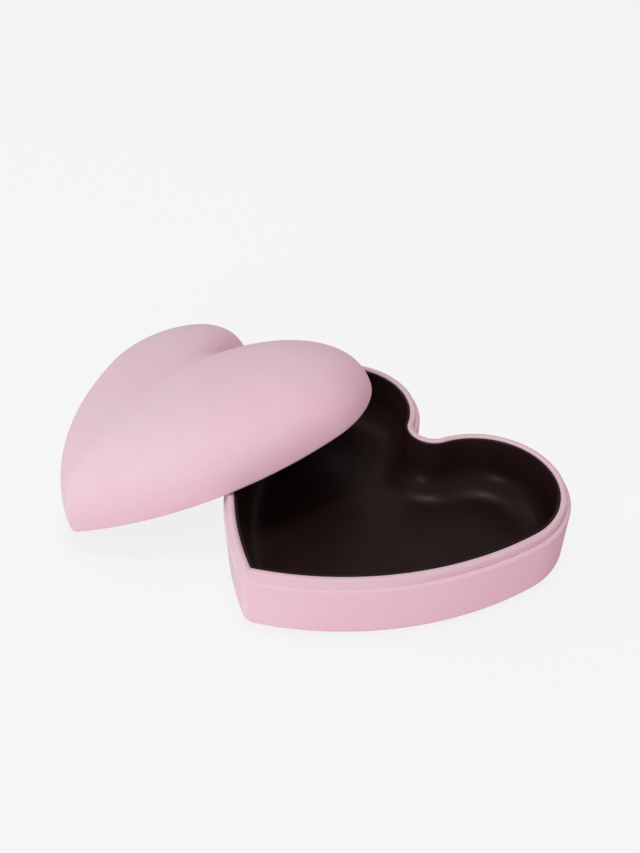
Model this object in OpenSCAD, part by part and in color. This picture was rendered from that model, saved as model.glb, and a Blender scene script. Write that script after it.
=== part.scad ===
// Heart-shaped keepsake box covered in velvet: a round-edged tray with a raised collar,
// and a puffed dome lid that lifts off, shown leaning on the rim of the tray.
// Origin: the resting plane, level with the centres of the two lobes. Z is up, the point of
// the heart is towards -Y.

/* [Size] */
// outer width over both lobes (mm)
box_w = 105; // [80:0.5:140]
// height of the tray up to its ledge, without the raised collar (mm)
ledge_h = 18.7; // [12:0.1:30]
// how far the collar stands above the ledge (mm)
collar_rise = 2.6; // [1.5:0.1:5]
// height of the lid from its rim to the top of the dome (mm)
dome_h = 21.5; // [12:0.1:35]

/* [Heart outline] */
// how far each lobe's centre is from the middle line, as a share of the width
lobe_share = 0.2581; // [0.22:0.0001:0.3]
// how far the point lies in front of the lobe centres, before it is rounded (mm)
point_y = 69.5; // [50:0.5:95]
// radius of the long bowed sides (mm)
side_r = 98; // [75:1:140]
// radius in the bottom of the cleft (mm)
cleft_r = 4.5; // [2:0.1:10]
// radius that rounds the point (mm)
point_r = 1.6; // [0.8:0.1:4]

/* [Tray] */
// width of the ledge that the lid stands on (mm)
ledge_w = 1.3; // [1:0.1:4]
// width of the collar's velvet top (mm)
collar_w = 1.9; // [1.5:0.1:5]
// rounding of the collar's two top edges (mm)
collar_edge_r = 0.6; // [0.3:0.1:1.5]
// rounding of the ledge's outer edge (mm)
ledge_edge_r = 0.8; // [0.4:0.1:2]
// rounding where the wall turns under the tray (mm)
foot_r = 2.6; // [1:0.1:5]
// how much narrower the wall is at its foot, on each side (mm)
wall_draft = 0.45; // [0:0.05:2]
// thickness of the moulded floor (mm)
floor_t = 1.3; // [0.8:0.1:3]
// how far the dark lining's edge lies below the collar's top (mm)
lining_drop = 0.4; // [0.2:0.1:2]
// radius where the dark lining's floor curves up into its wall (mm)
lining_corner_r = 6; // [2:0.5:12]

/* [Sheets] */
// thickness of the velvet (mm)
velvet_t = 0.4; // [0.2:0.05:1]
// thickness of the dark lining (mm)
lining_t = 0.7; // [0.4:0.1:1.5]
// thickness of the felt under the tray (mm)
felt_t = 0.6; // [0.4:0.1:2]
// how far the velvet is turned in under the tray (mm)
hem_w = 6; // [3:0.5:15]
// how far the felt's edge is set back from the rounded foot (mm)
felt_set_back = 0.5; // [0:0.1:3]
// how far the velvet is turned down inside the collar (mm)
turn_down = 0.9; // [0.7:0.1:2]

/* [Lid] */
// thickness of the lid's moulded shell (mm)
shell_t = 1.6; // [1:0.1:3]
// rounding of the rim's outer edge (mm)
rim_edge_r = 0.8; // [0.2:0.1:1.5]
// how full the dome is: 2 is an ellipse, more is puffier
dome_fullness = 2.45; // [2:0.05:4]
// how late the cleft fades out on its way up the dome, as a power
cleft_fade = 3; // [1:0.1:6]
// how late the point gets rounder on its way up the dome, as a power
point_fade = 2.7; // [0.5:0.1:6]
// how far in front of the lobe centres the top of the dome lies (mm)
dome_top_y = 27; // [5:0.5:35]
// radius of the cleft near the top of the dome (mm)
top_cleft_r = 60; // [20:1:120]
// radius of the point near the top of the dome (mm)
top_point_r = 7.2; // [2:0.1:15]

/* [Lid laid against the tray] */
// sideways place of the lid's origin (mm)
lid_x = -60.7; // [-90:0.1:0]
// front-to-back place of the lid's origin (mm)
lid_y = -13.3; // [-60:0.1:60]
// height of the lid's origin (mm)
lid_z = 15.8; // [0:0.05:60]
// how far the lid is turned about the upright axis (degrees)
lid_turn = 2.2; // [-45:0.1:45]
// how far the lid leans (degrees)
lid_lean = -18.15; // [-60:0.05:60]
// compass direction of the axis that the lid leans about (degrees)
lid_lean_dir = 114.5; // [0:0.1:180]

/* [Fits] */
// gap between the collar and the lid's skirt when the box is shut (mm)
skirt_gap = 0.25; // [0.1:0.05:1]
// room above the collar inside the shut lid (mm)
collar_gap = 0.4; // [0.2:0.1:1]
// glue line between a covering and what it covers (mm)
glue = 0.1; // [0.05:0.05:0.3]

/* [Smoothness] */
// facets on each lobe
lobe_steps = 19; // [8:1:60]
// facets on each bowed side
side_steps = 8; // [4:1:40]

/* [Hidden] */
cleft_steps = 4;
point_steps = 2;
foot_steps = 4;
corner_steps = 4;
edge_steps = 2;
dome_step = 10; // degrees between two rings of the dome
dome_end = 80;  // degrees at the last ring under the top
sharpest_r = 0.4; // no rounded point is sharper than this
velvet_color = [0.90, 0.75, 0.80];
dark_color = [0.17, 0.12, 0.11];
core_color = [0.78, 0.72, 0.62];
felt_color = [0.42, 0.36, 0.36];

// heights, and insets measured inwards from the outer outline of the heart
lobe_x = box_w * lobe_share;
lobe_r = box_w / 2 - lobe_x;
floor_under = felt_t + velvet_t;
floor_top = floor_under + floor_t;
collar_top = ledge_h + collar_rise;
wall_in = ledge_w + velvet_t;  // where the ledge's velvet ends and the collar starts
collar_in = ledge_w + collar_w; // inner edge of the collar's velvet
lining_out = collar_in + glue;
lining_in = lining_out + lining_t;
foot_in = wall_draft + foot_r; // where the rounded foot meets the underside
foot_z = felt_t + foot_r;
edge_z = ledge_h - ledge_edge_r;
skirt_in = ledge_w - skirt_gap; // inner face of the lid's skirt
rebate_h = collar_rise + collar_gap; // how high the skirt reaches inside
shell_in = velvet_t + shell_t;
cover_in = shell_in + lining_t;
middle = [0, -dome_top_y];

// ---- the heart: on each side four arcs that run into one another ----
function polar(c, r, a) = [c[0] + r * cos(a), c[1] + r * sin(a)];
function arc(c, r, from, to, steps) = [for (i = [0 : steps - 1]) polar(c, r, from + (to - from) * i / steps)];
function reversed(list) = [for (i = [len(list) - 1 : -1 : 0]) list[i]];

lobe_c = [lobe_x, 0];
side_span = side_r - lobe_r;          // from the lobe's centre to the bowed side's centre
point_span = norm([lobe_x, point_y]); // from the lobe's centre to the point
point_dir = [-lobe_x, -point_y] / point_span;
side_along = (pow(side_span, 2) - pow(side_r, 2) + pow(point_span, 2)) / (2 * point_span);
side_across = sqrt(pow(side_span, 2) - pow(side_along, 2));
side_c = lobe_c + side_along * point_dir + side_across * [point_dir[1], -point_dir[0]];
side_a = atan2(lobe_c[1] - side_c[1], lobe_c[0] - side_c[0]);

// the outline, counter-clockwise from the point, moved inwards by inset; the cleft and the
// point are rounded by the two radii that hold at inset zero
function heart(inset, cleft = cleft_r, point = point_r) =
    let (r_point = max(point - inset, sharpest_r),
         c_cleft = [0, sqrt(pow(lobe_r + cleft, 2) - pow(lobe_x, 2))],
         c_point = [0, side_c[1] - sqrt(pow(side_r - inset - r_point, 2) - pow(side_c[0], 2))],
         a_point = atan2(c_point[1] - side_c[1], c_point[0] - side_c[0]),
         a_cleft = atan2(c_cleft[1] - lobe_c[1], c_cleft[0] - lobe_c[0]),
         right = concat(
             arc(c_point, r_point, -90, a_point, point_steps),
             arc(side_c, side_r - inset, a_point, side_a, side_steps),
             arc(lobe_c, lobe_r - inset, side_a, a_cleft, lobe_steps),
             arc(c_cleft, cleft + inset, a_cleft + 180, 270, cleft_steps)),
         left = [for (i = [len(right) - 1 : -1 : 1]) [-right[i][0], right[i][1]]])
    concat(right, [[0, c_cleft[1] - cleft - inset]], left);

// one level ring for each [inset, height] of a section
function levels(section) = [for (s = section) [for (p = heart(s[0])) [p[0], p[1], s[1]]]];
// a rounded edge of a section: 0 degrees points outwards, 90 degrees up
function bend(inset, z, r, from, to, steps) =
    [for (i = [0 : steps]) let (a = from + (to - from) * i / steps) [inset - r * cos(a), z + r * sin(a)]];

// ring of the dome that lies depth below its outer face, at the angle a between rim and top
function dome_ring(depth, a) =
    let (spread = pow(cos(a), 2 / dome_fullness),
         z = (dome_h - depth) * pow(sin(a), 2 / dome_fullness),
         cleft = cleft_r + (top_cleft_r - cleft_r) * pow(1 - spread, cleft_fade),
         point = point_r + (top_point_r - point_r) * (1 - pow(spread, point_fade)))
    [for (q = heart(depth, cleft, point))
        let (p = middle + (q - middle) * spread) [p[0], p[1], z]];
function dome_rings(depth) = [for (a = [dome_step : dome_step : dome_end]) dome_ring(depth, a)];
function dome_ring_at(depth, z) = dome_ring(depth, asin(pow(z / (dome_h - depth), dome_fullness / 2)));
function dome_top(depth) = [middle[0], middle[1], dome_h - depth];

// ---- solids from rings ----
// The strip between two rings, in triangles. An inner strip is split along the other diagonal,
// so that it lies face to face on the outer strip of the piece inside it.
function strip(n, k, next, start, inner = false) = [for (i = [0 : n - 1], half = [0, 1])
    let (j = (i + 1) % n,
         a = start + k * n + i,
         b = start + next * n + i,
         c = start + next * n + j,
         d = start + k * n + j)
    inner ? (half == 0 ? [a, b, d] : [b, c, d])
          : (half == 0 ? [a, b, c] : [a, c, d])];

// a skin of rings that is closed by a point at either end; the first strips may be inner ones
module capped(first, rings, last, inner = 0) {
    n = len(rings[0]);
    count = len(rings);
    polyhedron(
        points = concat([first], [for (r = rings) each r], [last]),
        faces = concat(
            [for (i = [0 : n - 1]) [0, 1 + i, 1 + (i + 1) % n]],
            [for (k = [0 : count - 2]) each strip(n, k, k + 1, 1, k < inner)],
            [for (i = [0 : n - 1]) [1 + count * n, 1 + (count - 1) * n + (i + 1) % n, 1 + (count - 1) * n + i]]),
        convexity = 8);
}

// a band: its last ring runs back into its first
module band(rings) {
    n = len(rings[0]);
    count = len(rings);
    polyhedron(
        points = [for (r = rings) each r],
        faces = [for (k = [0 : count - 1]) each strip(n, k, (k + 1) % count, 0)],
        convexity = 8);
}

// the same outline as flat stock, and as a wall standing between two outlines
module heart_plate(inset, from, to) {
    translate([0, 0, from]) linear_extrude(to - from) polygon(heart(inset));
}
module heart_tube(outer, inner, from, to) {
    translate([0, 0, from]) linear_extrude(to - from) difference() {
        polygon(heart(outer));
        polygon(heart(inner));
    }
}

// ---- tray ----
// moulded pan: floor, rounded foot and wall in one piece
module tray_shell() color(core_color) capped(
    [middle[0], middle[1], floor_under],
    levels(concat(
        bend(foot_in, foot_z, foot_r - velvet_t, -90, 0, edge_steps),
        bend(ledge_edge_r, edge_z, ledge_edge_r - velvet_t, 0, 90, edge_steps),
        [[wall_in, ledge_h - velvet_t], [wall_in, floor_top]])),
    [middle[0], middle[1], floor_top]);

// velvet over the ledge, the wall and the foot, turned in under the floor
module tray_velvet() color(velvet_color) band(levels(concat(
    [[foot_in + hem_w, felt_t]],
    bend(foot_in, foot_z, foot_r, -90, 0, foot_steps),
    bend(ledge_edge_r, edge_z, ledge_edge_r, 0, 90, edge_steps),
    [[wall_in, ledge_h], [wall_in, ledge_h - velvet_t]],
    bend(ledge_edge_r, edge_z, ledge_edge_r - velvet_t, 90, 0, edge_steps),
    bend(foot_in, foot_z, foot_r - velvet_t, 0, -90, edge_steps),
    [[foot_in + hem_w, floor_under]])));

// collar that stands on the pan's floor and locates the lid; thinner where the velvet turns in
module collar_ring() color(core_color) {
    heart_tube(wall_in + glue, collar_in - glue, floor_top, collar_top - turn_down - glue);
    heart_tube(wall_in + glue, collar_in - velvet_t - glue, collar_top - turn_down - glue,
               collar_top - velvet_t - glue);
}

// velvet over the collar's outer face and top, turned down inside
module collar_velvet() color(velvet_color) band(levels(concat(
    [[ledge_w, ledge_h]],
    bend(ledge_w + collar_edge_r, collar_top - collar_edge_r, collar_edge_r, 0, 90, edge_steps),
    bend(collar_in - collar_edge_r, collar_top - collar_edge_r, collar_edge_r, 90, 180, edge_steps),
    [[collar_in, collar_top - turn_down], [collar_in - velvet_t, collar_top - turn_down],
     [collar_in - velvet_t, collar_top - velvet_t], [wall_in, collar_top - velvet_t], [wall_in, ledge_h]])));

// dark formed lining with a floor that curves up into its wall
module tray_lining() color(dark_color) capped(
    [middle[0], middle[1], floor_top],
    levels(concat(
        bend(lining_in + lining_corner_r, floor_top + lining_t + lining_corner_r,
             lining_corner_r + lining_t, -90, 0, corner_steps),
        [[lining_out, collar_top - lining_drop], [lining_in, collar_top - lining_drop]],
        bend(lining_in + lining_corner_r, floor_top + lining_t + lining_corner_r,
             lining_corner_r, 0, -90, corner_steps))),
    [middle[0], middle[1], floor_top + lining_t]);

// felt sheet that covers the hem and carries the box
module tray_felt() color(felt_color) heart_plate(foot_in + felt_set_back, 0, felt_t);

// ---- lid ----
module laid_down() {
    translate([lid_x, lid_y, lid_z])
        rotate(a = lid_lean, v = [cos(lid_lean_dir), sin(lid_lean_dir), 0])
            rotate([0, 0, lid_turn]) children();
}

// moulded dome with a thin skirt round the rebate that takes the collar
module lid_shell() color(core_color) laid_down() capped(
    dome_top(shell_in),
    concat(
        reversed(dome_rings(shell_in)),
        [dome_ring_at(shell_in, rebate_h)],
        levels([[skirt_in, rebate_h], [skirt_in, velvet_t], [velvet_t, velvet_t]]),
        dome_rings(velvet_t)),
    dome_top(velvet_t), len(dome_rings(shell_in)));

// velvet over the dome, turned under the rim
module lid_velvet() color(velvet_color) laid_down() capped(
    dome_top(velvet_t),
    concat(
        reversed(dome_rings(velvet_t)),
        levels(concat(
            [[velvet_t, velvet_t], [skirt_in, velvet_t], [skirt_in, 0]],
            bend(rim_edge_r, rim_edge_r, rim_edge_r, -90, 0, edge_steps))),
        dome_rings(0)),
    dome_top(0), len(dome_rings(velvet_t)));

// dark lining inside the dome, above the rebate
module lid_lining() color(dark_color) laid_down() capped(
    dome_top(cover_in),
    concat(
        reversed(dome_rings(cover_in)),
        [dome_ring_at(cover_in, rebate_h), dome_ring_at(shell_in, rebate_h)],
        dome_rings(shell_in)),
    dome_top(shell_in));

tray_shell();
tray_velvet();
collar_ring();
collar_velvet();
tray_lining();
tray_felt();
lid_shell();
lid_velvet();
lid_lining();
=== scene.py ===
# %% [markdown]
# # A velvet heart box, with its lid laid against the tray
#
# The object is a keepsake box in the shape of a heart. A moulded tray and a moulded lid are
# covered in short-pile velvet. Inside sits a dark glossy lining, underneath a sheet of felt.
# The solids come from the construction model, in metres and in their final places. This script
# dresses them: it sets up the camera, the floor and the lamps, draws every covering afresh with
# round curves, and gives each one its finish.
#
# The coverings have to land exactly on the moulded parts. So the script repeats the named sizes
# of the construction model, each where it is first needed, in millimetres that are turned into
# metres.

# %% Load the construction model
from math import asin, atan2, cos, radians, sin, sqrt

import bmesh
import bpy
from mathutils import Matrix, Vector


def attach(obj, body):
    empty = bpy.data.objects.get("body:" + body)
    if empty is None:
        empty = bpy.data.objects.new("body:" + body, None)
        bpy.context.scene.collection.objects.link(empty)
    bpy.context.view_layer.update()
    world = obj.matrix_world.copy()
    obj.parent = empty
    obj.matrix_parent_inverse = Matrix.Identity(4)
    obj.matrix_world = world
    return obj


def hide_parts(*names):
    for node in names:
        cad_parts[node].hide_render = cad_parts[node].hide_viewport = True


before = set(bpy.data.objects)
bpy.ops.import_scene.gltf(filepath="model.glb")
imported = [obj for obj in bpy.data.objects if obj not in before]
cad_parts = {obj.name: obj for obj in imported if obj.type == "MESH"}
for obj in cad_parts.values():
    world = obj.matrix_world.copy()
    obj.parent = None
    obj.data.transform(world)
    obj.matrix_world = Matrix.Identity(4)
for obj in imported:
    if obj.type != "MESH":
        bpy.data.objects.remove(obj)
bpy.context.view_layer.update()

MM = 0.001

# %% [markdown]
# ## Camera
# The box is seen from its right front, from well above. A camera can be moved by eye until the
# picture fits, but a nearer camera with a shorter lens looks much the same. So place, angles and
# lens were worked out together, from where the outline, the rims and the points of both hearts
# lie in the picture.

# %% The camera
EYE, LENS, NEAREST = (0.1402, -0.1946, 0.2238), 44.31, 10 * MM
LOOK_DOWN, LOOK_ROUND = 39.31, 41.98

bpy.ops.object.select_all(action="DESELECT")
bpy.ops.object.camera_add(location=EYE, rotation=(radians(90 - LOOK_DOWN), 0, radians(LOOK_ROUND)))
camera = bpy.context.object
camera.data.lens, camera.data.clip_start = LENS, NEAREST
bpy.context.scene.camera = camera
print("camera lens", round(camera.data.lens, 2), "mm, looking down by", LOOK_DOWN, "degrees")

# %% [markdown]
# ## Nodes
# Every finish here is a tree of nodes. It could be put together by hand in the shader editor.
# In a script, three small helpers keep it readable: one starts a material, one adds a node with
# its properties and the values of its sockets, and one draws the links.

# %% Helpers for nodes
def new_material(name):
    """A material with nothing in it yet."""
    material = bpy.data.materials.new(name)
    material.use_nodes = True
    material.node_tree.nodes.clear()
    return material, material.node_tree


def add(tree, kind, values=None, **settings):
    """One node: settings are its properties, values its sockets."""
    node = tree.nodes.new(kind)
    for key, value in settings.items():
        setattr(node, key, value)
    for key, value in (values or {}).items():
        node.inputs[key].default_value = value
    return node


def wire(tree, *pairs):
    """Links from one socket to another, in the order given."""
    for start, stop in pairs:
        tree.links.new(start, stop)


print("materials so far:", len(bpy.data.materials))

# %% [markdown]
# ## Floor
# The box stands on a wide sheet of pale paper. Paper that is only lit comes out uneven, bright
# near the lamps and dull far away. So most of what the camera sees of it, straight on or
# mirrored in something, is its plain colour. The rest is real light, which keeps the faint
# shadow of the box. From below, the camera sees through the paper, so that the underside can be
# looked at too. For this the paper lies a hair above zero, and the felt reaches just through it.

# %% What is looked at, and what only lights
def looked_at(tree):
    """1 for what is seen, straight on or mirrored in something, and 0 for what only lights."""
    path = add(tree, "ShaderNodeLightPath")
    mirrored = add(tree, "ShaderNodeMath", operation="MAXIMUM")
    either = add(tree, "ShaderNodeMath", operation="MAXIMUM")
    wire(tree,
         (path.outputs["Is Glossy Ray"], mirrored.inputs[0]),
         (path.outputs["Is Transmission Ray"], mirrored.inputs[1]),
         (path.outputs["Is Camera Ray"], either.inputs[0]), (mirrored.outputs[0], either.inputs[1]))
    return either.outputs[0]


print("floor and sky will tell apart what is looked at and what only lights")

# %% The floor
PAPER, PLAIN_SHARE = (0.93, 0.93, 0.93, 1), 0.9
FLOOR_W, FLOOR_Z = 4, 0.01 * MM

bpy.ops.object.select_all(action="DESELECT")
bpy.ops.mesh.primitive_plane_add(size=FLOOR_W, location=(0, 0, FLOOR_Z))
floor = bpy.context.object
floor.name = "paper_floor"
paper, tree = new_material("pale_paper")
lit = add(tree, "ShaderNodeBsdfDiffuse", {"Color": PAPER})
plain = add(tree, "ShaderNodeEmission", {"Color": PAPER, "Strength": 1})
seen = add(tree, "ShaderNodeMath", {1: PLAIN_SHARE}, operation="MULTIPLY")
above = add(tree, "ShaderNodeMixShader")
side = add(tree, "ShaderNodeNewGeometry")
clear = add(tree, "ShaderNodeBsdfTransparent")
either_side = add(tree, "ShaderNodeMixShader")
out = add(tree, "ShaderNodeOutputMaterial")
wire(tree,
     (looked_at(tree), seen.inputs[0]), (seen.outputs[0], above.inputs["Fac"]),
     (lit.outputs[0], above.inputs[1]), (plain.outputs[0], above.inputs[2]),
     (side.outputs["Backfacing"], either_side.inputs["Fac"]),
     (above.outputs[0], either_side.inputs[1]), (clear.outputs[0], either_side.inputs[2]),
     (either_side.outputs[0], out.inputs["Surface"]))
floor.data.materials.append(paper)
print("floor", floor.dimensions[:])

# %% [markdown]
# ## Light
# Plain soft studio light: a weak, even sky and four soft boxes. A small one straight above
# makes the dark of the hollow under the lid and the small highlights in it. One on the left
# rounds the dome. Two low ones light the wall without reaching into the tray. A bigger, stronger
# sky would be simpler, but it would fill the hollow with light. What the camera sees of the sky
# is close to the far end of the paper, so the horizon hardly shows from the sides.

# %% The lamps
BOX_MIDDLE = (-0.02, -0.02, 0.01)


def soft_lamp(name, place, size, power):
    """A square soft box at a place, turned towards the middle of the box."""
    bpy.ops.object.select_all(action="DESELECT")
    turn = (Vector(BOX_MIDDLE) - Vector(place)).to_track_quat("-Z", "Y").to_euler()
    bpy.ops.object.light_add(type="AREA", location=place, rotation=turn)
    lamp = bpy.context.object
    lamp.name, lamp.data.size, lamp.data.energy = name, size, power
    print(name, size, "m wide,", power, "W")


soft_lamp("top_soft_box", (0, 0, 1.1), size=0.35, power=4.7)
soft_lamp("left_soft_box", (-0.75, -0.25, 0.65), size=0.5, power=1.45)
soft_lamp("low_front_soft_box", (0.32, -1.48, 0.36), size=0.6, power=11)
soft_lamp("low_right_soft_box", (1.60, 0.50, 0.30), size=0.5, power=2.0)

# %% The sky
SKY_STRENGTH, SEEN_SKY = 0.29, (0.87, 0.87, 0.87, 1)

world = bpy.data.worlds.new("even_sky")
bpy.context.scene.world = world
world.use_nodes = True
tree = world.node_tree
tree.nodes.clear()
sky = add(tree, "ShaderNodeBackground", {"Color": (1, 1, 1, 1), "Strength": SKY_STRENGTH})
seen_sky = add(tree, "ShaderNodeBackground", {"Color": SEEN_SKY, "Strength": 1})
mix = add(tree, "ShaderNodeMixShader")
out = add(tree, "ShaderNodeOutputWorld")
wire(tree,
     (looked_at(tree), mix.inputs["Fac"]), (sky.outputs[0], mix.inputs[1]),
     (seen_sky.outputs[0], mix.inputs[2]), (mix.outputs[0], out.inputs["Surface"]))
bpy.context.scene.view_settings.view_transform = "Standard"
print("sky strength", SKY_STRENGTH)

# %% [markdown]
# ## Drawing the heart
# The heart is a chain of six arcs that run into one another: the rounded point, a long bowed
# side, a lobe, the cleft, and the other lobe and side. In Blender such a chain can be drawn
# as with a pair of compasses: one vertex is spun round the first centre, and where it ends
# it is spun on round the next one. A curve object with handles could be bent to the same
# outline, but here moving it inwards only changes the radii, so every loop of every covering is
# parallel to every other.

# %% The centres of the arcs
BOX_W, POINT_Y, SIDE_R = 105 * MM, 69.5 * MM, 98 * MM
LOBE_X = 0.2581 * BOX_W
LOBE_R = BOX_W / 2 - LOBE_X
CLEFT_R, POINT_R, SHARPEST_R = 4.5 * MM, 1.6 * MM, 0.4 * MM

# The bowed side runs into the lobe and ends in the point. So its centre is where two circles
# cross: one of side_span round the lobe's centre, the other of SIDE_R round the point.
side_span = SIDE_R - LOBE_R
point_span = sqrt(LOBE_X ** 2 + POINT_Y ** 2)
point_dir = Vector((-LOBE_X, -POINT_Y)) / point_span
across_dir = Vector((point_dir[1], -point_dir[0]))
side_along = (side_span ** 2 - SIDE_R ** 2 + point_span ** 2) / (2 * point_span)
side_across = sqrt(side_span ** 2 - side_along ** 2)
side_c = Vector((LOBE_X, 0)) + side_along * point_dir + side_across * across_dir
side_a = atan2(-side_c[1], LOBE_X - side_c[0])
print("lobes", round(LOBE_R / MM, 1), "mm in radius; the bowed side is drawn round",
      [round(c / MM, 1) for c in side_c])

# %% One loop of the heart
STEPS = {"point": 12, "side": 30, "lobe": 60, "cleft": 24}
SAME_PLACE = 0.01 * MM


def heart_loop(inset, height, cleft=CLEFT_R, point=POINT_R):
    """A closed loop of edges: the heart, moved inwards by inset, at a height."""
    tip = max(point - inset, SHARPEST_R)
    notch = sqrt((LOBE_R + cleft) ** 2 - LOBE_X ** 2)
    nose = side_c[1] - sqrt((SIDE_R - inset - tip) ** 2 - side_c[0] ** 2)
    nose_a = atan2(nose - side_c[1], -side_c[0])
    notch_a = atan2(notch, -LOBE_X)
    start = (-tip * cos(nose_a), nose + tip * sin(nose_a), height)
    bpy.ops.object.select_all(action="DESELECT")
    bpy.ops.mesh.primitive_plane_add(size=MM, location=start)
    bpy.ops.object.mode_set(mode="EDIT")
    bpy.ops.mesh.merge(type="CENTER")  # leaves one vertex, where the drawing starts
    for arc, centre, turn in (
            ("point", (0, nose), radians(180) + 2 * nose_a),
            ("side", side_c, side_a - nose_a),
            ("lobe", (LOBE_X, 0), notch_a - side_a),
            ("cleft", (0, notch), radians(180) - 2 * notch_a),
            ("lobe", (-LOBE_X, 0), notch_a - side_a),
            ("side", (-side_c[0], side_c[1]), side_a - nose_a)):
        bpy.ops.mesh.spin(steps=STEPS[arc], angle=-turn, center=(*centre, height), axis=(0, 0, 1))
    bpy.ops.mesh.select_all(action="SELECT")
    bpy.ops.mesh.remove_doubles(threshold=SAME_PLACE)
    bpy.ops.object.mode_set(mode="OBJECT")
    bpy.ops.object.transform_apply(location=True, rotation=True, scale=True)
    return bpy.context.object


print("a loop has", 2 * (STEPS["side"] + STEPS["lobe"]) + STEPS["point"] + STEPS["cleft"], "edges")

# %% [markdown]
# ## From loops to a skin
# A covering is a thin sheet whose section is known: where it starts, bends and ends. One way
# would be to sweep that section along the heart. Here heart loops are stacked up along the
# section instead, and Bridge Edge Loops joins each one to the next, so that every loop may also
# be shaped by itself. Bridging goes wrong where loops lie closely nested. So the loops are first
# spread far apart in height, bridged, and then moved back to their places.

# %% The section of a bend
def bend(inset, height, radius, start, end, steps):
    """Insets and heights round an edge: 0 degrees points outwards, 90 degrees up."""
    turns = [radians(start + (end - start) * i / steps) for i in range(steps + 1)]
    return [(inset - radius * cos(a), height + radius * sin(a)) for a in turns]


print("a bend of 1 mm, in mm:", [(round(x, 2), round(z, 2)) for x, z in bend(1, 0, 1, 0, 90, 2)])

# %% Helpers for picking and measuring
def alone(piece):
    """Select and activate one piece and nothing else."""
    bpy.ops.object.select_all(action="DESELECT")
    piece.select_set(True)
    bpy.context.view_layer.objects.active = piece


def pick(piece, start, end):
    """Select the vertices from one number to another, and the edges between them."""
    bpy.ops.mesh.select_all(action="DESELECT")
    mesh = bmesh.from_edit_mesh(piece.data)
    mesh.verts.ensure_lookup_table()
    for vertex in mesh.verts[start:end]:
        vertex.select_set(True)
    mesh.select_flush(True)
    bmesh.update_edit_mesh(piece.data)


def open_edges(piece):
    """How many edges carry only one face."""
    mesh = bmesh.new()
    mesh.from_mesh(piece.data)
    bare = sum(len(edge.link_faces) == 1 for edge in mesh.edges)
    mesh.free()
    return bare


print("bare edges of the floor, which is a single face:", open_edges(floor))

# %% Bridging the loops
APART, END_INSET = 50 * MM, 0.2 * MM


def skin(name, loops, first=None, last=None):
    """Bridges a stack of loops into one mesh and closes its ends, flat or in a point."""
    piece, count = loops[0], len(loops[0].data.vertices)
    for k, loop in enumerate(loops[1:], 1):
        alone(loop)
        bpy.ops.transform.translate(value=(0, 0, k * APART))
        bpy.ops.object.transform_apply(location=True, rotation=True, scale=True)
        alone(piece)
        loop.select_set(True)
        bpy.ops.object.join()
    piece.name = piece.data.name = name
    bpy.ops.object.mode_set(mode="EDIT")
    bpy.ops.mesh.select_mode(type="VERT")
    bpy.ops.mesh.select_all(action="SELECT")
    bpy.ops.mesh.bridge_edge_loops()
    for k in range(1, len(loops)):
        pick(piece, k * count, (k + 1) * count)
        bpy.ops.transform.translate(value=(0, 0, -k * APART))
    last_start = (len(loops) - 1) * count
    for end, start in ((last, last_start), (first, 0)):
        pick(piece, start, start + count)
        if end == "point":
            bpy.ops.mesh.merge(type="CENTER")
        elif end == "flat":
            bpy.ops.mesh.edge_face_add()
            bpy.ops.mesh.inset(thickness=END_INSET)
    bpy.ops.mesh.select_all(action="SELECT")
    bpy.ops.mesh.normals_make_consistent(inside=False)
    bpy.ops.object.mode_set(mode="OBJECT")
    print(name, len(piece.data.polygons), "faces,", "bare edges:", open_edges(piece))
    return piece


print("loops are", round(APART / MM), "mm apart while they are bridged")

# %% [markdown]
# ## The tray's velvet
# On the real box one strip of velvet runs from the ledge over the rounded edge, down the wall,
# round the foot and a little way under the floor. It is glued down tight, so it can't hang or
# crease, and a cloth simulation would add nothing. A stack of loops that follows its section
# gives the outer face, and Solidify the thickness of the cloth behind it. The pile fills out
# the upright ridge at the point, so there the loops are rounder than the moulded pan.

# %% Turned out, thick and smooth
CRISP = radians(35)


def face_up(piece):
    """Turns an open skin over if its highest face looks down."""
    top = max(piece.data.polygons, key=lambda face: face.center.z)
    if top.normal.z < 0:
        alone(piece)
        bpy.ops.object.mode_set(mode="EDIT")
        bpy.ops.mesh.select_all(action="SELECT")
        bpy.ops.mesh.flip_normals()
        bpy.ops.object.mode_set(mode="OBJECT")


def thicken(piece, thickness, way=-1):
    """Gives an open skin the thickness of its sheet: -1 is inwards, 1 outwards."""
    alone(piece)
    wall = piece.modifiers.new("thickness", "SOLIDIFY")
    wall.thickness, wall.offset = thickness, way
    bpy.ops.object.modifier_apply(modifier=wall.name)


def smooth(piece):
    """Shades the bends round and keeps sharper edges crisp."""
    alone(piece)
    bpy.ops.object.shade_smooth_by_angle(angle=CRISP)


print("edges sharper than", round(CRISP / radians(1)), "degrees stay crisp")

# %% Velvet over the ledge and the wall
LEDGE_H, LEDGE_W, LEDGE_EDGE_R = 18.7 * MM, 1.3 * MM, 0.8 * MM
WALL_DRAFT, FOOT_R, HEM_W = 0.45 * MM, 2.6 * MM, 6 * MM
VELVET_T, FELT_T, RIDGE_R = 0.4 * MM, 0.6 * MM, 3.6 * MM
FOOT_IN = WALL_DRAFT + FOOT_R

section = ([(FOOT_IN + HEM_W, FELT_T)]
           + bend(FOOT_IN, FELT_T + FOOT_R, FOOT_R, -90, 0, steps=10)
           + bend(LEDGE_EDGE_R, LEDGE_H - LEDGE_EDGE_R, LEDGE_EDGE_R, 0, 90, steps=6))
loops = [heart_loop(inset, height, point=inset + RIDGE_R) for inset, height in section]
loops.append(heart_loop(LEDGE_W + VELVET_T, LEDGE_H))
tray_velvet = skin("tray_velvet_cover", loops)
face_up(tray_velvet)
thicken(tray_velvet, VELVET_T)
smooth(tray_velvet)

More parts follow.
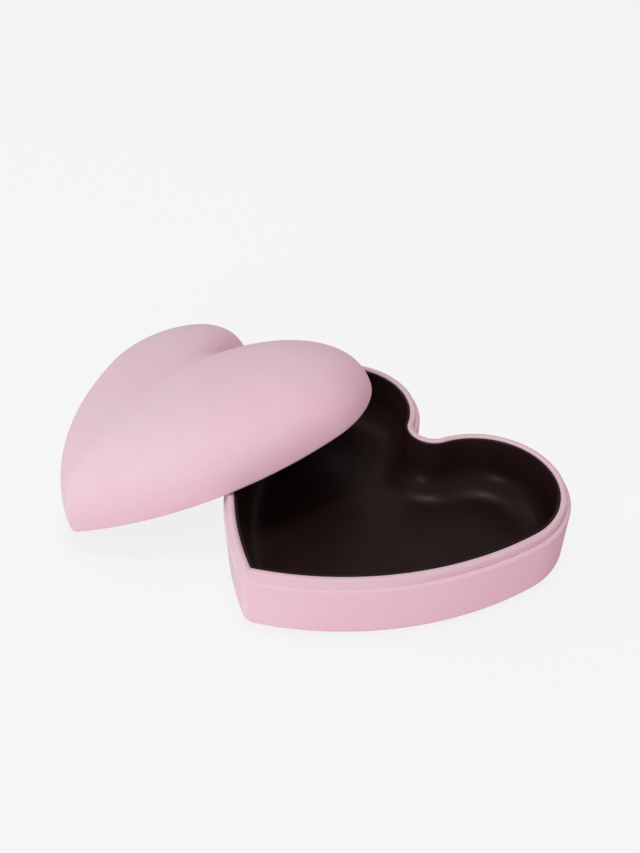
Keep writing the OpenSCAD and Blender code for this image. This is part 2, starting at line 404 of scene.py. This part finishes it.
# %% [markdown]
# ## The collar's velvet
# The collar stands inside the ledge and holds the lid in place. Its velvet is a bead: up the
# outer face, over the top and a little way down inside. Along the lobes a groove runs between
# collar and ledge. Towards the point the velvet was pulled tight over both, so the groove runs
# out there. A narrower section for that stretch could be worked out and blended in. It is
# easier to do what the maker did: the two lowest loops are pulled outwards and down at the
# point, and proportional editing lets that fade along the sides.

# %% Pulling a loop
PULL_LINE, PULL_REACH = -46 * MM, 22 * MM


def pulled(loop, move):
    """Moves the front of a loop, and what follows the front less and less."""
    alone(loop)
    bpy.ops.object.mode_set(mode="EDIT")
    bpy.ops.mesh.select_all(action="DESELECT")
    mesh = bmesh.from_edit_mesh(loop.data)
    for vertex in mesh.verts:
        vertex.select_set(vertex.co.y < PULL_LINE)
    mesh.select_flush(True)
    bmesh.update_edit_mesh(loop.data)
    bpy.ops.transform.translate(value=move, use_proportional_edit=True,
                                proportional_edit_falloff="SMOOTH", proportional_size=PULL_REACH,
                                use_proportional_connected=True)
    bpy.ops.object.mode_set(mode="OBJECT")
    return loop


print("a pull fades out over", round(PULL_REACH / MM), "mm")

# %% Velvet over the collar
COLLAR_RISE, COLLAR_W, TURN_DOWN, BEAD_R = 2.6 * MM, 1.9 * MM, 0.9 * MM, 0.85 * MM
COLLAR_TOP, COLLAR_IN = LEDGE_H + COLLAR_RISE, LEDGE_W + COLLAR_W
FOOT_PULL, FACE_PULL = (0, -1.5 * MM, -0.9 * MM), (0, -0.75 * MM, -0.1 * MM)
FACE_RISE, FACE_POINT_R = 1 * MM, 2 * MM

foot_loop = pulled(heart_loop(LEDGE_W, LEDGE_H, point=LEDGE_W + RIDGE_R), FOOT_PULL)
face_loop = pulled(heart_loop(LEDGE_W, LEDGE_H + FACE_RISE, point=LEDGE_W + FACE_POINT_R),
                   FACE_PULL)
section = (bend(LEDGE_W + BEAD_R, COLLAR_TOP - BEAD_R, BEAD_R, 0, 90, steps=6)
           + bend(COLLAR_IN - BEAD_R, COLLAR_TOP - BEAD_R, BEAD_R, 90, 180, steps=6)
           + [(COLLAR_IN, COLLAR_TOP - TURN_DOWN)])
loops = [foot_loop, face_loop] + [heart_loop(*level) for level in section]
collar_velvet = skin("collar_velvet_cover", loops)
face_up(collar_velvet)
thicken(collar_velvet, VELVET_T)
smooth(collar_velvet)

# %% [markdown]
# ## The tray's lining
# A warm sheet was drawn down into the tray, so the lining has one flat floor that curves up
# into an upright wall and ends in a rounded lip just below the collar. It is a closed form, not
# a skin with a modifier: the loops run over the inner face, round the lip and down the back,
# because the bend inside is wider than the bend behind it.

# %% The dark lining of the tray
FLOOR_T, GLUE, LINING_T, LINING_DROP = 1.3 * MM, 0.1 * MM, 0.7 * MM, 0.4 * MM
BOWL_R, LINING_CORNER_R = 9 * MM, 6 * MM
FLOOR_TOP, LINING_IN = FELT_T + VELVET_T + FLOOR_T, COLLAR_IN + GLUE + LINING_T

corner_in, corner_z = LINING_IN + LINING_CORNER_R, FLOOR_TOP + LINING_T + LINING_CORNER_R
lip_z, lip_r = COLLAR_TOP - LINING_DROP, LINING_T / 2
section = (bend(LINING_IN + BOWL_R, FLOOR_TOP + LINING_T + BOWL_R, BOWL_R, -90, 0, steps=16)
           + bend(LINING_IN - lip_r, lip_z - lip_r, -lip_r, 0, -180, steps=6)
           + bend(corner_in, corner_z, LINING_CORNER_R + LINING_T, 0, -90, steps=8))
tray_lining = skin("tray_dark_lining", [heart_loop(*level) for level in section], "flat", "flat")
smooth(tray_lining)

# %% [markdown]
# ## The felt
# A sheet of felt is glued under the tray, over the velvet's hem, and the box stands on it. It
# was cut with a blade, so it is flat with hardly rounded edges. A flat heart could be extruded
# from one loop. The stack of loops does the same and also rounds the edges.

# %% The felt under the tray
FELT_SET_BACK, FELT_EDGE_R = 0.5 * MM, 0.15 * MM

felt_in = FOOT_IN + FELT_SET_BACK + FELT_EDGE_R
section = (bend(felt_in, FELT_EDGE_R, FELT_EDGE_R, -90, 0, steps=3)
           + bend(felt_in, FELT_T - FELT_EDGE_R, FELT_EDGE_R, 0, 90, steps=3))
tray_felt = skin("felt_sheet", [heart_loop(*level) for level in section], "flat", "flat")
smooth(tray_felt)

# %% [markdown]
# ## The dome of the lid
# The lid is a puffed heart. At its rim it has the crisp outline of the tray; towards the top
# the cleft fades out and the point grows soft. Inflating a flat heart would puff it, but would
# not keep the rim. So each loop of the dome is drawn with a wider cleft and a rounder point
# than the one below it, is shrunk towards the top of the dome, and is lifted to its height.

# %% Loops of the dome
DOME_H, DOME_FULLNESS, DOME_TOP = 21.5 * MM, 2.45, (0, -27 * MM, 0)
TOP_CLEFT_R, CLEFT_FADE = 60 * MM, 3
TOP_POINT_R, POINT_FADE = 7.2 * MM, 2.7
LAST_ANGLE, CROWDING = radians(88.5), 1.5


def dome_loops(depth, start, count, rim_point=POINT_R):
    """Loops of the dome's face that lies depth under the velvet, from an angle to the top."""
    loops = []
    for k in range(count):
        a = start + (LAST_ANGLE - start) * (k / (count - 1)) ** CROWDING
        spread = cos(a) ** (2 / DOME_FULLNESS)
        cleft = CLEFT_R + (TOP_CLEFT_R - CLEFT_R) * (1 - spread) ** CLEFT_FADE
        point = rim_point + (TOP_POINT_R - rim_point) * (1 - spread ** POINT_FADE)
        level = heart_loop(depth, 0, cleft, point)
        alone(level)
        bpy.ops.transform.resize(value=(spread, spread, 1), center_override=DOME_TOP)
        lift = (DOME_H - depth) * sin(a) ** (2 / DOME_FULLNESS)
        bpy.ops.transform.translate(value=(0, 0, lift))
        bpy.ops.object.transform_apply(location=True, rotation=True, scale=True)
        loops.append(level)
    return loops


def dome_angle(depth, height):
    """The angle above the rim at which the dome has a height."""
    return asin((height / (DOME_H - depth)) ** (DOME_FULLNESS / 2))


print("halfway up, the dome is at", round(dome_angle(0, DOME_H / 2) / radians(1)), "degrees")

# %% [markdown]
# ## The lid's velvet
# The velvet covers the dome and is turned in round the edge of the rim. It was stretched over
# the moulded shell until no crease was left, so its face is the dome itself, and there is
# nothing that a cloth simulation would find. It is an open skin that closes in a point at the
# top, and Solidify gives it its thickness, away from the face that is drawn.

# %% Velvet over the lid
SKIRT_GAP, RIM_EDGE_R, RIM_RISE, LID_POINT_R = 0.25 * MM, 0.8 * MM, 0.35 * MM, 2.6 * MM

rim = [(LEDGE_W - SKIRT_GAP, 0)] + bend(RIM_EDGE_R, RIM_EDGE_R, RIM_EDGE_R, -90, 0, steps=6)
loops = [heart_loop(inset, height, point=inset + LID_POINT_R) for inset, height in rim]
loops += dome_loops(0, dome_angle(0, RIM_EDGE_R + RIM_RISE), count=34, rim_point=LID_POINT_R)
lid_velvet = skin("lid_velvet_cover", loops, last="point")
face_up(lid_velvet)
thicken(lid_velvet, VELVET_T)
smooth(lid_velvet)

# %% [markdown]
# ## The lid's lining
# The lining follows the inside of the shell, from the top down to the rebate that takes the
# collar. It could be copied from the velvet and shrunk, but then the gap between them would be
# uneven. So it has its own loops, drawn at its own depth under the velvet.

# %% Dark lining inside the lid
SHELL_T, COLLAR_GAP = 1.6 * MM, 0.4 * MM

inner_face = VELVET_T + SHELL_T + LINING_T
loops = dome_loops(inner_face, dome_angle(inner_face, COLLAR_RISE + COLLAR_GAP), count=22)
lid_lining = skin("lid_dark_lining", loops, last="point")
face_up(lid_lining)
thicken(lid_lining, LINING_T, way=1)
smooth(lid_lining)

# %% [markdown]
# ## Laying the lid down
# The lid was drawn level, with its rim at zero. On the real box it is loose: here it has been
# lifted off and laid down, so that its rim rests on the collar and on the table. It could be
# turned, leaned and moved one after the other. One matrix does all three at once, with the
# numbers that the construction model uses for the shell. The matrix is then applied, so that
# each piece keeps its place in its mesh.

# %% Lay the lid down
LID_PLACE = (-60.7 * MM, -13.3 * MM, 15.8 * MM)
LID_TURN, LID_LEAN, LEAN_ROUND = radians(2.2), radians(-18.15), radians(114.5)

lean_axis = (cos(LEAN_ROUND), sin(LEAN_ROUND), 0)
laid = (Matrix.Translation(LID_PLACE) @ Matrix.Rotation(LID_LEAN, 4, lean_axis)
        @ Matrix.Rotation(LID_TURN, 4, "Z"))
for piece in (lid_velvet, lid_lining):
    alone(piece)
    piece.matrix_world = laid
    bpy.ops.object.transform_apply(location=True, rotation=True, scale=True)
    lowest = min(vertex.co.z for vertex in piece.data.vertices)
    print(piece.name, "comes down to", round(lowest / MM, 2), "mm")

# %% [markdown]
# ## Finishes
# Four finishes cover the box: velvet, the dark lining, the moulded core and the felt. Painting
# pictures of them would tie them to one place on one piece. Noise in the piece's own space
# works at every scale and from every side. What finishes share is kept in node groups with
# named inputs and outputs. Each material turns what they put out into colour, gloss and relief,
# and all of them end in the same three nodes.

# %% The start of a group and the end of a finish
def new_group(name, inputs, outputs):
    """A node group whose inputs and outputs are plain numbers, and its two end nodes."""
    group = bpy.data.node_groups.new(name, "ShaderNodeTree")
    for way, labels in (("INPUT", inputs), ("OUTPUT", outputs)):
        for label in labels:
            group.interface.new_socket(name=label, in_out=way, socket_type="NodeSocketFloat")
    print(name, "takes", inputs, "and puts out", outputs)
    return group, add(group, "NodeGroupInput"), add(group, "NodeGroupOutput")


def surface(tree, colour, height, strength, depth, values):
    """Relief, shader and output: how strong and how deep the relief is, and the shader's values."""
    relief = add(tree, "ShaderNodeBump", {"Strength": strength, "Distance": depth})
    shader = add(tree, "ShaderNodeBsdfPrincipled", values)
    out = add(tree, "ShaderNodeOutputMaterial")
    wire(tree,
         (colour, shader.inputs["Base Color"]), (height, relief.inputs["Height"]),
         (relief.outputs[0], shader.inputs["Normal"]), (shader.outputs[0], out.inputs["Surface"]))
    return shader


print("node groups so far:", len(bpy.data.node_groups))

# %% [markdown]
# ### Velvet
# The covering is a short-pile velvet in a dusty rose. Two things make it look like velvet.
# Its pile lies this way and that in soft patches and in fine brush strokes, which change its colour
# a little. And its pile leans one way, the nap: faces on one side show the pale tips of the fibres,
# faces on the other side show the deeper dye between them. Real hairs would do this too, but by the
# hundred thousand. Here the pale side is set towards the lamps, so the nap is partly painted light:
# faces turned to the lamps are painted paler, and faces turned away are painted a deeper rose, as
# painted shade. So the colour goes by which way a face is turned, from a pale lavender rose to a
# deep rose, and the fibres are a fine relief.

# %% The pile
STROKE_STRETCH, STROKE_SHARE, STROKE_RELIEF = (1, 1, 0.35), 0.5, 0.6

pile, given, end = new_group("velvet_pile", ["Patches", "Strokes", "Fibres"],
                             ["Lie", "Fibre", "Height"])
place = add(pile, "ShaderNodeTexCoord")
stretch = add(pile, "ShaderNodeMapping", {"Scale": STROKE_STRETCH})
patches = add(pile, "ShaderNodeTexNoise", {"Detail": 2, "Roughness": 0.5})
strokes = add(pile, "ShaderNodeTexNoise", {"Detail": 3, "Roughness": 0.55})
fibres = add(pile, "ShaderNodeTexNoise", {"Detail": 2, "Roughness": 0.7})
both = add(pile, "ShaderNodeMath", {1: STROKE_SHARE}, operation="MULTIPLY_ADD")
lie = add(pile, "ShaderNodeMapRange", {"From Min": 0.6, "From Max": 0.9})
relief = add(pile, "ShaderNodeMath", {1: STROKE_RELIEF}, operation="MULTIPLY_ADD")
wire(pile,
     (given.outputs["Patches"], patches.inputs["Scale"]),
     (given.outputs["Strokes"], strokes.inputs["Scale"]),
     (given.outputs["Fibres"], fibres.inputs["Scale"]),
     (place.outputs["Object"], patches.inputs["Vector"]),
     (place.outputs["Object"], stretch.inputs["Vector"]),
     (place.outputs["Object"], fibres.inputs["Vector"]),
     (stretch.outputs[0], strokes.inputs["Vector"]),
     (strokes.outputs["Fac"], both.inputs[0]), (patches.outputs["Fac"], both.inputs[2]),
     (both.outputs[0], lie.inputs["Value"]), (lie.outputs[0], end.inputs["Lie"]),
     (fibres.outputs["Fac"], end.inputs["Fibre"]), (strokes.outputs["Fac"], relief.inputs[0]),
     (fibres.outputs["Fac"], relief.inputs[2]), (relief.outputs[0], end.inputs["Height"]))

# %% The nap, which also paints light and shade
# The nap leans towards the lamps: faces turned to them are painted paler, as painted light, and
# faces turned away deeper, as painted shade.
NAP_TOWARDS_LAMPS = (-0.65, -0.60, 0.46)

nap, given, end = new_group("velvet_nap_painted_shade", ["Against", "Along"], ["Tips"])
place = add(nap, "ShaderNodeTexCoord")
lean = add(nap, "ShaderNodeVectorMath", {1: NAP_TOWARDS_LAMPS}, operation="DOT_PRODUCT")
turned = add(nap, "ShaderNodeMapRange", {"From Min": -1, "From Max": 1})
wire(nap,
     (place.outputs["Normal"], lean.inputs[0]), (lean.outputs["Value"], turned.inputs["Value"]),
     (given.outputs["Against"], turned.inputs["To Min"]),
     (given.outputs["Along"], turned.inputs["To Max"]), (turned.outputs[0], end.inputs["Tips"]))

# %% The two velvets, the second a darker copy for the collar as painted shade
PILE_PER_METRE = {"Patches": 28, "Strokes": 170, "Fibres": 2600}
# How far the nap moves the colour: towards the deep rose on faces turned from the lamps, as painted
# shade, and towards the pale rose on faces turned to them, as painted light.
NAP_LIT_AND_SHADED, LIE_SHARE = {"Against": -0.1, "Along": 0.9}, 0.2


def velvet_like(name, deep, pale):
    """Velvet between a deep dye and pale tips: the nap, which paints faces turned to the lamps
    paler and faces turned away deeper as painted shade, the lie and the fibres mix them.
    """
    material, tree = new_material(name)
    marks = add(tree, "ShaderNodeGroup", PILE_PER_METRE, node_tree=pile)
    # The nap's pale and deep sides are painted light and painted shade.
    tips = add(tree, "ShaderNodeGroup", NAP_LIT_AND_SHADED, node_tree=nap)
    lies = add(tree, "ShaderNodeMath", {1: LIE_SHARE}, operation="MULTIPLY_ADD")
    dye = add(tree, "ShaderNodeMix", data_type="RGBA", clamp_factor=True)
    dye.inputs["A"].default_value, dye.inputs["B"].default_value = deep, pale
    grain = add(tree, "ShaderNodeMapRange",
                {"From Min": 0.3, "From Max": 0.7, "To Min": 0.97, "To Max": 1.02})
    dusted = add(tree, "ShaderNodeVectorMath", operation="SCALE")
    wire(tree,
         (marks.outputs["Lie"], lies.inputs[0]), (tips.outputs["Tips"], lies.inputs[2]),
         (lies.outputs[0], dye.inputs["Factor"]), (marks.outputs["Fibre"], grain.inputs["Value"]),
         (dye.outputs["Result"], dusted.inputs[0]), (grain.outputs[0], dusted.inputs["Scale"]))
    surface(tree, dusted.outputs[0], marks.outputs["Height"], strength=0.2, depth=0.2 * MM,
            values={"Roughness": 0.9, "Sheen Weight": 0.06, "Sheen Roughness": 0.4,
                    "Sheen Tint": (1.0, 0.88, 0.96, 1), "Specular IOR Level": 0.05})
    return material


velvet = velvet_like("rose_velvet", deep=(0.80, 0.425, 0.545, 1), pale=(0.79, 0.59, 0.645, 1))
# The collar's velvet is a darker copy of the same velvet: painted shade on the collar.
shaded_collar_velvet = velvet_like("rose_velvet_painted_shade",
                          deep=(0.76, 0.43, 0.53, 1), pale=(0.74, 0.54, 0.60, 1))
print("velvets:", velvet.name, "and", shaded_collar_velvet.name)

# %% [markdown]
# ### Dark lining
# Tray and lid are lined with a deep brown sheet that was drawn into shape when it was warm.
# It is smooth and half glossy. Drawing leaves it a little wavy and its gloss a little uneven,
# so the bright things round it mirror in it as soft, bent streaks. A plain gloss would mirror
# them as clean ones, so slow waves shift both the gloss and the relief.

# %% The drawn sheet
SKIN_RELIEF = 0.04

drawn, given, end = new_group("drawn_sheet", ["Waves", "Skin"], ["Gloss", "Height"])
place = add(drawn, "ShaderNodeTexCoord")
waves = add(drawn, "ShaderNodeTexNoise", {"Detail": 1})
skin_marks = add(drawn, "ShaderNodeTexNoise", {"Detail": 2})
evenness = add(drawn, "ShaderNodeMapRange", {"From Min": 0.3, "From Max": 0.7})
relief = add(drawn, "ShaderNodeMath", {1: SKIN_RELIEF}, operation="MULTIPLY_ADD")
wire(drawn,
     (given.outputs["Waves"], waves.inputs["Scale"]),
     (given.outputs["Skin"], skin_marks.inputs["Scale"]),
     (place.outputs["Object"], waves.inputs["Vector"]),
     (place.outputs["Object"], skin_marks.inputs["Vector"]),
     (waves.outputs["Fac"], evenness.inputs["Value"]), (evenness.outputs[0], end.inputs["Gloss"]),
     (skin_marks.outputs["Fac"], relief.inputs[0]), (waves.outputs["Fac"], relief.inputs[2]),
     (relief.outputs[0], end.inputs["Height"]))

# %% Dark lining
DEEP_BROWN, BROWN = (0.0185, 0.0085, 0.0075, 1), (0.0235, 0.0108, 0.0097, 1)

gloss, tree = new_material("dark_gloss_lining")
marks = add(tree, "ShaderNodeGroup", {"Waves": 70, "Skin": 900}, node_tree=drawn)
shade = add(tree, "ShaderNodeMix", data_type="RGBA")
shade.inputs["A"].default_value, shade.inputs["B"].default_value = DEEP_BROWN, BROWN
rough = add(tree, "ShaderNodeMapRange", {"To Min": 0.28, "To Max": 0.38})
shader = surface(tree, shade.outputs["Result"], marks.outputs["Height"], strength=0.25,
                 depth=0.6 * MM, values={"Specular IOR Level": 0.06})
wire(tree,
     (marks.outputs["Gloss"], shade.inputs["Factor"]),
     (marks.outputs["Gloss"], rough.inputs["Value"]),
     (rough.outputs[0], shader.inputs["Roughness"]))
print("lining:", gloss.name)

# %% [markdown]
# ### Moulded core and felt
# Between the velvet and the lining lies a moulded core of pale pulp board, which shows only
# where a covering ends. The felt underneath is pressed from short fibres in a deeper rose.
# Both are matt and speckled, only at different scales. Each could have a noise of its own, but
# one group of specks with its scale as an input serves both.

# %% Specks and fibres
specks, given, end = new_group("fine_specks", ["Scale"], ["Speck"])
place = add(specks, "ShaderNodeTexCoord")
noise = add(specks, "ShaderNodeTexNoise", {"Detail": 4, "Roughness": 0.7})
wire(specks,
     (given.outputs["Scale"], noise.inputs["Scale"]),
     (place.outputs["Object"], noise.inputs["Vector"]), (noise.outputs["Fac"], end.inputs["Speck"]))

# %% Core and felt
def mottled(name, dark, pale, scale, roughness, depth):
    """A matt material in two shades, whose fine relief has the same scale."""
    material, tree = new_material(name)
    marks = add(tree, "ShaderNodeGroup", {"Scale": scale}, node_tree=specks)
    shade = add(tree, "ShaderNodeMix", data_type="RGBA")
    shade.inputs["A"].default_value, shade.inputs["B"].default_value = dark, pale
    wire(tree, (marks.outputs["Speck"], shade.inputs["Factor"]))
    surface(tree, shade.outputs["Result"], marks.outputs["Speck"], strength=0.5, depth=depth,
            values={"Roughness": roughness, "Specular IOR Level": 0.2})
    return material


core = mottled("moulded_core", dark=(0.42, 0.36, 0.28, 1), pale=(0.58, 0.52, 0.42, 1),
               scale=1400, roughness=0.8, depth=0.1 * MM)
felt = mottled("base_felt", dark=(0.33, 0.13, 0.175, 1), pale=(0.58, 0.28, 0.35, 1),
               scale=2200, roughness=0.95, depth=0.25 * MM)
print("matt finishes:", core.name, "and", felt.name)

# %% [markdown]
# ## Dressing the box
# Each covering now gets its finish, rides on the tray or on the lid, and takes the place of the
# plain solid that stood for it. The three moulded cores could be drawn afresh as well, but they
# are the right shape already. So they stay as they are and only get their material.

# %% Dress the pieces
for piece, node, body, material, slot in (
        (tray_velvet, "tray_velvet", "tray", velvet, "pink_velvet"),
        (collar_velvet, "collar_velvet", "tray", shaded_collar_velvet, "pink_velvet"),
        (tray_lining, "tray_lining", "tray", gloss, "dark_lining"),
        (tray_felt, "tray_felt", "tray", felt, "base_felt"),
        (lid_velvet, "lid_velvet", "lid", velvet, "pink_velvet"),
        (lid_lining, "lid_lining", "lid", gloss, "dark_lining")):
    piece.data.materials.clear()
    piece.data.materials.append(material)
    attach(piece, body)
    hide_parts(node)
    print(piece.name, "rides on the", body, "in", material.name)
for name in ("tray_shell", "collar_ring", "lid_shell"):
    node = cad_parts[name]
    node.data.materials.clear()
    node.data.materials.append(core)

# %% [markdown]
# ## Cloth
# Each piece of cloth was cut flat. The tray's velvet is one long strip, the collar's a narrow
# band, and the lid's a heart that is larger than the lid by what the dome takes up. The
# velvets are glued down under tension, and the felt lies flat. A simulation would start from
# these cuts. Here the pieces are drawn in place, and the cuts are given beside them, in metres,
# so that the area of each piece can be compared with the area of its cut.

# %% The flat sizes of the cloth
for piece, flat, area, held, under in (
        (tray_velvet, (0.028, 0.330), None, "stretched", ["tray_shell"]),
        (collar_velvet, (0.010, 0.325), 0.0016, "stretched", ["collar_ring"]),
        (lid_velvet, (0.140, 0.150), 0.0105, "stretched", ["lid_shell"]),
        (tray_felt, (0.088, 0.099), 0.0058, "laid", ["tray_shell"])):
    print(piece.name, "was cut from", flat)
